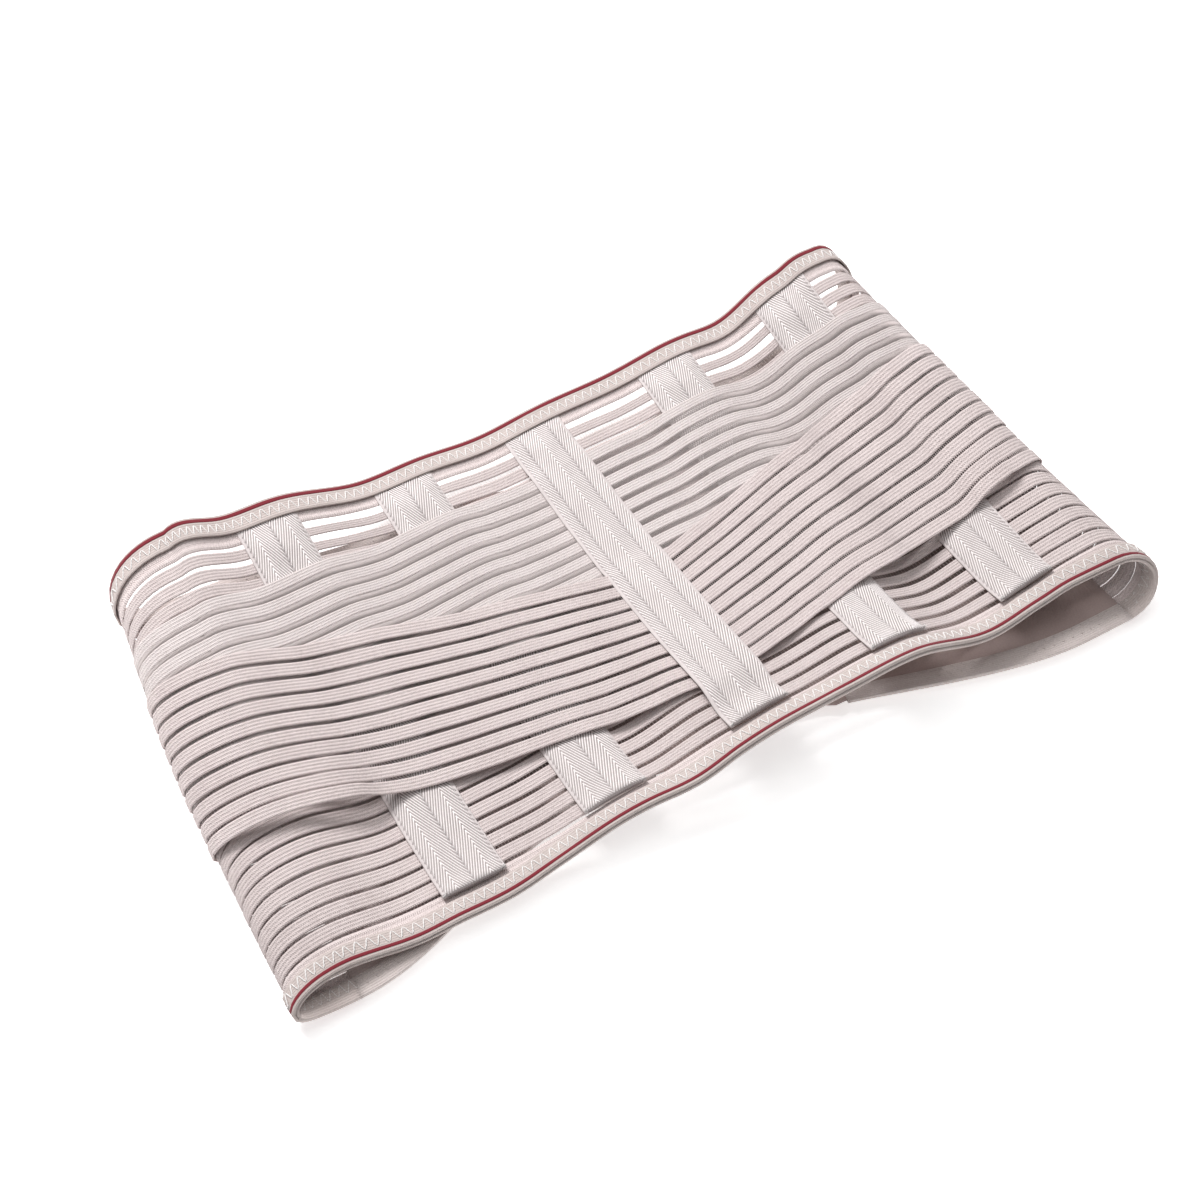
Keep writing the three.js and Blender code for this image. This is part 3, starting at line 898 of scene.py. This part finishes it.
tapeRows = (  # name, place, over the straps
    ("outer_stay_left", -4, False),
    ("inner_stay_left", -2, False),
    ("centre_stay", 0, True),
    ("inner_stay_right", 2, False),
    ("outer_stay_right", 4, False),
)


def tapeUnder(fromTop, overStraps):
    # level of a tape's underside
    level = tape["restLevel"] + 0 * fromTop
    for rise, start, end in tape["strapSteps"] if overStraps else ():
        level = level + rise * smooth(fromTop, start, end)
    endLift, *endFrom = tape["endLift"]
    return level + endLift * smooth(fromTop, *endFrom)


def tapeTop(across, fromTop, overStraps, seed):
    share = np.abs(across) / (tape["width"] / 2)
    bare = smooth(fromTop, *tape["bareFrom"])
    thin, full = tape["edgeWall"]
    extra, *extraFrom = tape["endWall"]
    wall = thin + (full - thin) * bare + extra * smooth(fromTop, *extraFrom)
    crown = tape["crown"] * (1 - np.clip(share, 0, 1) ** 3) * bare
    height, down, tall, wide = tape["lump"]
    lump = height * np.exp(-((fromTop - down) / tall) ** 2 - (across / wide) ** 2)
    size, tall, wide = tape["waves"]
    waves = size * np.sin(fromTop / tall + seed) * np.cos(across / wide + 2 * seed)
    level = tapeUnder(fromTop, overStraps) + wall + crown
    return level + (lump + waves) * bare * (1 - share**4).clip(0, 1)


def onTape(place, across, fromTop, level):
    # points for arrays of the same shape: across the stay's middle, down from the upper edge, and level
    reach, columns, rows = 1.6, 161, 41  # a table of lengths across the stay, row by row
    flat, wide = fromTop.reshape(-1), across.reshape(-1)
    rise = 1 - flat / belt["height"]
    near = np.linspace(place - reach, place + reach, columns)
    grid = clothMiddle(near, np.broadcast_to(np.linspace(0, 1, rows), (columns, rows)))
    step = np.linalg.norm(np.diff(grid, axis=0), axis=-1)
    length = np.concatenate([np.zeros((1, rows)), np.cumsum(step, axis=0)])
    length -= length[columns // 2]
    spot = rise * (rows - 1)
    low = np.clip(spot.astype(int), 0, rows - 2)
    places = np.empty(len(flat))
    for k in range(rows - 1):
        here = low == k
        if here.any():
            first = np.interp(wide[here], length[:, k], near)
            second = np.interp(wide[here], length[:, k + 1], near)
            places[here] = blendTo(first, second, spot[here] - k)
    points = clothPoint(places, rise[:, None], level.reshape(-1)[:, None])[:, 0]
    return points.reshape(across.shape + (3,))


def tapeSway(deep, place):
    return wobble(deep, place + 9, tape["uneven"])


def tapeBody(place, overStraps):
    edge = [0.965, 0.99, 1]
    shares = np.concatenate([np.negative(edge[::-1]), np.linspace(-0.91, 0.91, 13), edge])
    under = np.linspace(1, -1, 7)[1:-1]
    both = np.concatenate([shares, under])
    wide, deep = np.meshgrid(both * tape["width"] / 2, np.linspace(tape["top"], tape["bottom"], 84))
    wide = wide + tapeSway(deep, place)
    bottom = tapeUnder(deep, overStraps)
    full = tapeTop(wide, deep, overStraps, place) - bottom
    rounded = np.sqrt(np.clip(1 - np.abs(both) ** tape["squareness"], 0, 1))
    upper = np.arange(len(both)) < len(shares)
    level = np.where(upper, bottom + full * (0.4 + 0.6 * rounded), bottom)
    return toStrip(onTape(place, wide, deep, level), deep, wide, place)


def tapeRidges(place, overStraps):
    # one column of slanting yarns beside the next, leaning by turns
    size, step = tape["ridgeSize"], tape["ridgeStep"]
    borders = np.array(tape["centreColumns" if overStraps else "sideColumns"]) - tape["width"] / 2
    highest, lowest = tape["top"] + tape["ridgeInset"][0], tape["bottom"] - tape["ridgeInset"][1]
    groups = {}
    meeting = 0.0  # where the yarns of two columns meet, down the tape
    for column, (left, right) in enumerate(zip(borders[:-1], borders[1:])):
        lean = 1 if (column % 2 == 0) == overStraps else -1
        slope = tape["ridgeSlope"] * lean
        reach = (right - left) * tape["ridgeSlope"]
        length = math.hypot(1, slope)
        lap = tape["ridgeLap"] / (right - left)
        start = tape["top"] - reach
        start += (meeting + reach * lean / 2 - start) % step
        meeting += reach * lean
        for middle in np.arange(start, tape["bottom"] + reach, step):
            limits = sorted((end - middle) / (reach * lean) + 0.5 for end in (highest, lowest))
            first, last = max(-lap, limits[0]), min(1 + lap, limits[1])
            if (last - first) * reach < tape["shortestRidge"]:
                continue
            stations = np.linspace(first, last, max(4, int((last - first) * reach / tape["ridgeStation"])))
            x = left + stations * (right - left)
            d = middle + (stations - 0.5) * reach * lean
            if not overStraps and d.min() > tape["hidden"][0] and d.max() < tape["hidden"][1]:
                continue
            crest = np.ones(len(x)) * tape["ridgeHeight"]
            crest[[0, -1]] *= tape["ridgeEnd"]
            foot = np.full(len(x), tape["ridgeHeight"])
            wide = np.stack([x - s * size * slope / length for s, up in tape["ridgeRing"]], 1)
            deep = np.stack([d + s * size / length for s, up in tape["ridgeRing"]], 1)
            raised = np.stack([up * (crest if up > 0 else foot) for s, up in tape["ridgeRing"]], 1)
            wide = wide + tapeSway(deep, place)
            level = tapeTop(wide, deep, overStraps, place) + raised
            groups.setdefault(len(x), []).append((wide, deep, level))
    strips = []
    for count, group in sorted(groups.items()):
        wide, deep, level = (np.concatenate([g[k] for g in group]) for k in range(3))
        points = onTape(place, wide, deep, level).reshape(len(group), count, len(tape["ridgeRing"]), 3)
        strips += [toStrip(points[k], g[1], g[0], k * 0.37) for k, g in enumerate(group)]
    return strips


def tapeTufts(place, overStraps):
    strips = []
    t = np.linspace(0, 1, 7)
    inset, fromEnd = tuft["corner"]
    lift, arch = tuft["lift"]
    for hand in (-1, 1):
        for k in range(tuft["threads"]):
            turn = 0.9 * k + 0.7 * hand + place
            reach = tuft["length"][0] + tuft["length"][1] * math.sin(3 * turn)
            wide = hand * (tape["width"] / 2 - inset) + reach * t * math.cos(turn)
            wide = wide + tuft["curl"] * np.sin(4 * t + turn)
            deep = tape["bottom"] - fromEnd + reach * t * math.sin(turn) * 0.8
            level = tapeTop(wide, deep, overStraps, place) + lift + arch * np.sin(t * tau / 2.4)
            path = onTape(place, wide, deep, level)
            out = onTape(place, wide, deep, level + 1) - path
            strips.append(cordStrip(path, out, tuft["radius"], t * 3))
    return strips


def makeTape(name, place, overStraps):
    body = makePiece(f"{name}_tape", [tapeBody(place, overStraps)], "shadedTapeGround")
    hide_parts(name)
    sewn = [makePiece(f"{name}_tufts", tapeTufts(place, overStraps), "thread")]
    sewn.insert(0, makePiece(f"{name}_twill", tapeRidges(place, overStraps), "twill"))


for row in tapeRows:
    makeTape(*row)

# Bindings over the two long edges, and the plain hems on the front panels

binding = {
    "tapeWall": 0.85,
    "hold": 1.0,  # half of the room for the cloth inside the fold
    "upper": {
        "width": 10.8,
        "lift": 0.35,  # how far the inner edge stands up
        "lip": 0.0,  # how far the under half reaches past the upper one
        "lineWidth": 2.0,
        "zigzag": (4.3, 9.4),  # from the edge
    },
    "lower": {"width": 9.3, "lift": 0.1, "lip": 0.6, "lineWidth": 1.7, "zigzag": (3.5, 8.5)},
    "turnedIn": 2,  # added to the width of each half when the tape is flat
    "lineFrom": 1.15,  # from the edge to the red line
    "lineSection": ((-1, 0.02), (-0.7, 0.16), (0, 0.22), (0.7, 0.16), (1, 0.02), (0, -0.2)),
    "columnStep": (3.4, 5.0),  # on the bindings and the hems
    "zigzagStep": 2.37,
    "threadSize": (0.6, 0.32),  # outside, and on the inside and the hems
    "underLevel": 0.1,  # of the threads inside, off the tape
    "hemFrom": foldEnd - 0.0195,
    "hemZigzag": (foldEnd - 0.018, frontEnd - 0.25),
    "hemEnd": (0.2, 0.4),  # places over which the hem's end is pressed flat, and how far
    "uneven": 0.06,
}


def bindingProfile(width, lift, lip):
    # depth from the edge and level: round the outside from the inner edge, then back round the cloth
    hold, wall = binding["hold"], binding["tapeWall"]
    face = hold + wall
    return np.array([
        (width, hold + lift + 0.05), (width + 0.12, hold + lift + wall * 0.5), (width - 0.1, face + lift),
        (width - 1.2, face + lift * 0.8), (width * 0.7, face + 0.05), (width * 0.45, face),
        (width * 0.25, face), (1.4, face), (0.7, face - 0.03), (0.3, face - 0.14), (0.06, face - 0.45),
        (0.0, 0.6), (0.05, 0.2), (1.0, 0.0), (0.05 - lip, -0.2), (-lip, -0.7), (0.06 - lip, 0.45 - face),
        (0.3 - lip, 0.14 - face), (0.7 - lip, 0.03 - face), (1.4, -face), (width * 0.5, -face),
        (width - 0.4, -face), (width - 0.1, -face + 0.3), (width - 0.2, -hold), (width * 0.5, -hold),
        (1.8, -hold), (1.3, -hold * 0.5), (1.3, hold * 0.5), (1.8, hold), (width * 0.5, hold),
        (width * 0.75, hold + lift * 0.2),
    ])


def fromEdge(depth, upper):
    rise = depth / belt["height"]
    return 1 - rise if upper else rise


def bindingStrip(place, edge):
    shape, upper = binding[edge], edge == "upper"
    along = lengthOf(place)
    endReach, pressed = binding["hemEnd"]
    slim = 1 - pressed * smooth(np.abs(place), frontEnd - endReach, frontEnd)
    profile = bindingProfile(shape["width"], shape["lift"], shape["lip"])
    depth = np.broadcast_to(profile[:, 0], (len(place), len(profile)))
    lipLeft = 1 - (1 - slim) / pressed  # the lip is gone at the hem's end
    depth = np.where(depth < 0, depth * lipLeft[:, None], depth)
    level = profile[:, 1] * slim[:, None] + wobble(along, 5 + upper, binding["uneven"])[:, None]
    points = clothPoint(place, fromEdge(depth, upper), level)
    return toStrip(points, along[:, None], profile[:, 0] * np.sign(profile[:, 1] + 0.001))


def zigzagStrip(first, last, edge, face, size):
    upper = edge == "upper"
    start, end = lengthOf(first), lengthOf(last)
    legs = int((end - start) / binding["zigzagStep"])
    stations = np.linspace(0, legs, legs * 4 + 1)
    along = start + stations * binding["zigzagStep"]
    turn = np.abs((stations + 1) % 2 - 1)
    near, far = binding[edge]["zigzag"]
    rise = fromEdge(blendTo(near, far, smooth(turn, -0.08, 1.08)), upper)[:, None]
    place = placeAt(along)
    level = (face + 0.2 - 0.42 * (np.abs(turn - 0.5) > 0.45))[:, None]  # down into the tape at each turn
    path = clothPoint(place, rise, level)[:, 0]
    out = clothPoint(place, rise, level + 1)[:, 0] - path
    return cordStrip(path, out, size / 2, along)


def makeBinding(edge):
    shape, upper = binding[edge], edge == "upper"
    bindingStep, hemStep = binding["columnStep"]
    place = evenPlaces(-seamPlace, seamPlace, bindingStep)
    name = f"{edge}_binding"
    folded = makePiece(f"{name}_tape", [bindingStrip(place, edge)], "binding")
    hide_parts(name)
    face = binding["hold"] + binding["tapeWall"]
    inside = -face - binding["underLevel"]

    # the woven line along the edge, a little proud of the tape
    half = shape["lineWidth"] / 2
    section = np.array(binding["lineSection"])
    depth = binding["lineFrom"] + half + section[:, 0] * half
    points = clothPoint(place, fromEdge(depth, upper), section[:, 1] + face)
    strip = toStrip(points, lengthOf(place)[:, None], section[:, 0])
    line = makePiece(f"{name}_line", [strip], "redLine")
    outerSize, innerSize = binding["threadSize"]
    rows = [
        zigzagStrip(-seamPlace, seamPlace, edge, level, size)
        for level, size in ((face, outerSize), (inside, innerSize))
    ]
    stitches = makePiece(f"{name}_stitches", rows, "thread")
    flatWidth = 2 * (shape["width"] + binding["turnedIn"]) / 1000

    for side, hand in ((-1, "left"), (1, "right")):
        name = f"{edge}_hem_{hand}"
        place = evenPlaces(side * binding["hemFrom"], side * frontEnd, hemStep)
        hem = makePiece(f"{name}_tape", [bindingStrip(place, edge)], "hem")
        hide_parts(name)
        ends = sorted(side * end for end in binding["hemZigzag"])
        rows = [zigzagStrip(*ends, edge, level, innerSize) for level in (face, inside)]
        sewn = makePiece(f"{name}_stitches", rows, "hem")


for edge in ("upper", "lower"):
    makeBinding(edge)

# Front panels, plain cloth on the table that overlaps at the closure

frontPanel = {
    "wall": 1.5,
    "edge": 1.6,  # from the belt's long edges
    "squareness": 40,  # of its own long edges
    "overlap": 0.03,  # places by which it overlaps the ends of the back's bands
    "columnStep": 6.0,
    "flatHeight": 200.0,
    "flapSteps": (7 / 6, 1, 0.5, 0, -0.5, -1),  # along the flap, as shares of its reach past the middle
    "flapLift": {"left": 2.0, "right": 0.0},  # the left flap lies over the right one
    "rolledEdge": (1.1, 0.96, 0.975),  # half of the flaps' edges, and where they begin across the flap
    "flapNarrow": {"left": (0.0, 9.0), "right": (9.0, 9.0)},  # how far the lower and upper edge draws in
}


def makeFrontPanel(side, hand):
    half = frontPanel["wall"] / 2
    place = evenPlaces(side * (foldEnd - frontPanel["overlap"]), side * frontEnd, frontPanel["columnStep"])
    shares = np.sin(np.linspace(-tau / 4, tau / 4, 25))
    across = np.concatenate([shares, shares[-2:0:-1]])
    rounded = half * np.sqrt(np.clip(1 - np.abs(across) ** frontPanel["squareness"], 0, 1))
    level = np.where(np.arange(len(across)) < len(shares), rounded, -rounded)
    points = clothPoint(place, 0.5 + across * (0.5 - frontPanel["edge"] / belt["height"]), level)
    rolled, *rolledFrom = frontPanel["rolledEdge"]
    thicker = blendTo(half, rolled, smooth(np.abs(across), *rolledFrom))
    last = clothPoint(place[-1:], 0.5 + across * 0.5, level / half * thicker)
    reach = np.array(frontPanel["flapSteps"]) * belt["flapX"]
    flaps = np.repeat(last, len(reach), 0)
    flaps[..., 0] = reach[:, None] * side
    narrow = np.where(across < 0, *frontPanel["flapNarrow"][hand])
    narrowed = smooth(-reach, -belt["closureX"], -belt["flapX"] * 0.7)
    flaps[..., 1] -= narrowed[:, None] * narrow * across
    lifted = smooth(-reach, -belt["closureX"], -belt["flapX"])
    flaps[..., 2] += (frontPanel["flapLift"][hand] * lifted)[:, None]
    points = np.concatenate([points, flaps])
    strip = toStrip(points, points[..., 0], points[..., 1])
    piece = makePiece(f"front_panel_{hand}_cloth", [strip], "plainCloth")
    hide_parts(f"front_panel_{hand}")
    size = (frontPanel["flatHeight"] / 1000, abs(points[0, 0, 0] - points[-1, 0, 0]) / 1000)


makeFrontPanel(-1, "left")
makeFrontPanel(1, "right")

# Floor, light and camera, the lights in metres and the camera in the belt's millimetres

stage = {
    "floor": paint(252, 252, 252),
    "floorGlow": 0.5,
    "floorReach": 4,
    "floorZ": -0.0003,
    "worldStrength": 0.28,
    "lights": (  # name, place, size, power
        ("softbox", (0.2, 0.4, 1.6), 1.8, 12.5),
        ("key", (-0.3, 1.0, 1.4), 0.6, 31.0),
    ),
    "cameraPlace": (-334.59, -533.17, 824.7),
    "cameraAim": (-21.9, -0.37, 10.0),
    "lens": 66.0,
    "sensor": 36.0,
    "clip": (0.01, 50),
}


def aimed(thing, place, target):
    thing.location = place
    thing.rotation_euler = (Vector(target) - Vector(place)).to_track_quat("-Z", "Y").to_euler()


def makeFloor():
    reach = stage["floorReach"]
    corners = [(reach * x, reach * y, 0) for x, y in ((-1, -1), (1, -1), (1, 1), (-1, 1))]
    mesh = bpy.data.meshes.new("floor")
    mesh.from_pydata(corners, [], [(0, 1, 2, 3)])
    floor = bpy.data.objects.new("floor", mesh)
    floor.location.z = stage["floorZ"]
    fixed = {"Base Color": stage["floor"], "Roughness": 0.9, "Specular IOR Level": 0.1}
    glow = {"Emission Color": stage["floor"], "Emission Strength": stage["floorGlow"]}
    mesh.materials.append(Finish("paleFloor", {**fixed, **glow}).material)
    scene.collection.objects.link(floor)


def makeLights():
    world = bpy.data.worlds.new("studio")
    world.use_nodes = True
    background = world.node_tree.nodes["Background"].inputs
    background["Color"].default_value = (1.0, 1.0, 1.0, 1.0)
    background["Strength"].default_value = stage["worldStrength"]
    scene.world = world
    for name, place, size, power in stage["lights"]:
        light = bpy.data.lights.new(name, "AREA")
        light.energy, light.size = power, size
        lamp = bpy.data.objects.new(name, light)
        aimed(lamp, place, (0, 0, 0))
        scene.collection.objects.link(lamp)


def makeCamera():
    lens = bpy.data.cameras.new("camera")
    lens.lens, lens.sensor_width = stage["lens"], stage["sensor"]
    lens.clip_start, lens.clip_end = stage["clip"]
    camera = bpy.data.objects.new("camera", lens)
    spots = [np.array(stage[key]) + np.array(belt["toFrame"]) for key in ("cameraPlace", "cameraAim")]
    aimed(camera, *(spot * 0.001 for spot in spots))
    scene.collection.objects.link(camera)
    scene.camera = camera
    scene.view_settings.view_transform = "Standard"


makeFloor()
makeLights()
makeCamera()
print("stage made")
